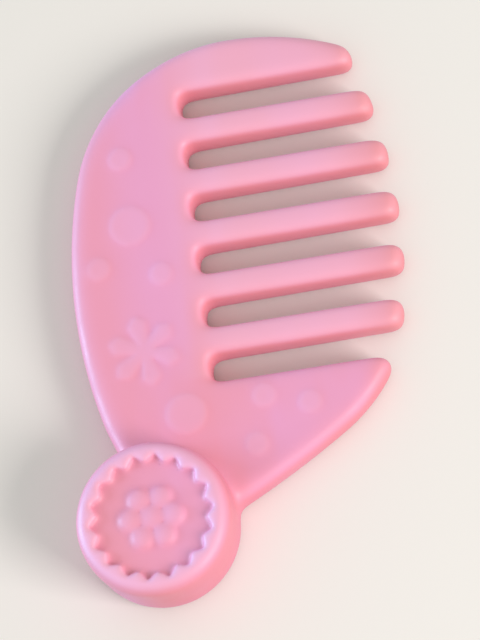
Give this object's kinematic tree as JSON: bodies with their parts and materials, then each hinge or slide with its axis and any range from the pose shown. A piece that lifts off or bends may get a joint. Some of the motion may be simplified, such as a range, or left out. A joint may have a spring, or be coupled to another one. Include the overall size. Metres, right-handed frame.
{
  "type": "wide tooth comb",
  "caption": "Toy wide-tooth comb: a rounded pink body with thick soft-edged teeth along one side, a raised round badge at the lower end, and raised dots and a flower on its face.",
  "frame": {"origin": "on the round badge's axis, in the plane of the flat back", "axes": "+X along the teeth towards their tips, +Y from the badge towards the top horn, +Z out of the decorated face"},
  "size_m": [0.0376, 0.0621, 0.0086],
  "materials": {
    "back_plastic": "soft satin, moulded in colour",
    "tooth_plastic": "soft satin, moulded in colour",
    "badge_plastic": "soft satin, moulded in colour",
    "mark_plastic": "soft satin, moulded in colour"
  },
  "bodies": {
    "root": {"comb_back": "back_plastic", "badge_disc": "badge_plastic", "badge_rim": "badge_plastic", "badge_rosette": "mark_plastic", "relief_dots": "mark_plastic", "relief_flower": "mark_plastic", "top_horn": "tooth_plastic", "lower_horn": "tooth_plastic", "inner_tooth_1": "tooth_plastic", "inner_tooth_2": "tooth_plastic", "inner_tooth_3": "tooth_plastic", "inner_tooth_4": "tooth_plastic", "inner_tooth_5": "tooth_plastic"}
  },
  "joints": []
}
